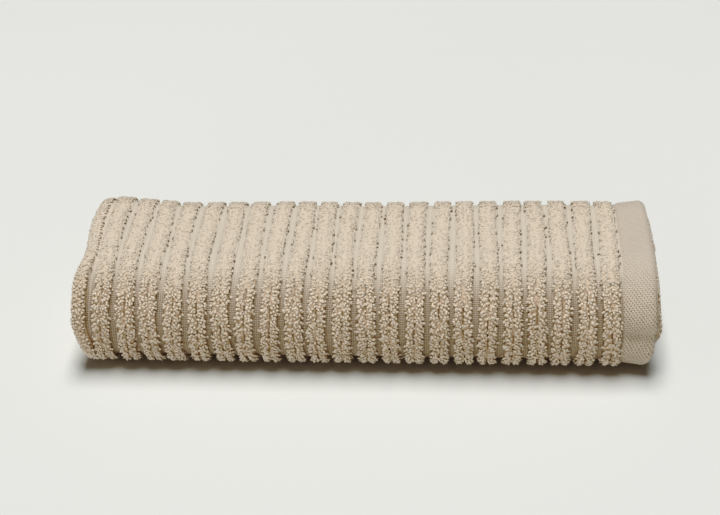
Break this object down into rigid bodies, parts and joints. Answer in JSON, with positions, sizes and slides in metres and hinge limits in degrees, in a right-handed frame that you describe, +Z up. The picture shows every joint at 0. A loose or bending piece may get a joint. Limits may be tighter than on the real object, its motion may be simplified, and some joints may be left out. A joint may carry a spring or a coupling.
{
  "type": "rolled face towel",
  "caption": "Ribbed terry face towel with a plain woven end band, folded in half and rolled into a flattened roll that lies on its flat side.",
  "frame": {"origin": "on the surface the roll rests on, under the middle of its length and depth", "axes": "+X along the roll from its folded end to its hemmed end, +Y to the back, +Z up"},
  "size_m": [0.401, 0.124, 0.0851],
  "materials": {
    "terry": "ribbed looped pile with flat woven valleys, matt cotton"
  },
  "bodies": {
    "root": {"towel": "terry"}
  },
  "joints": []
}
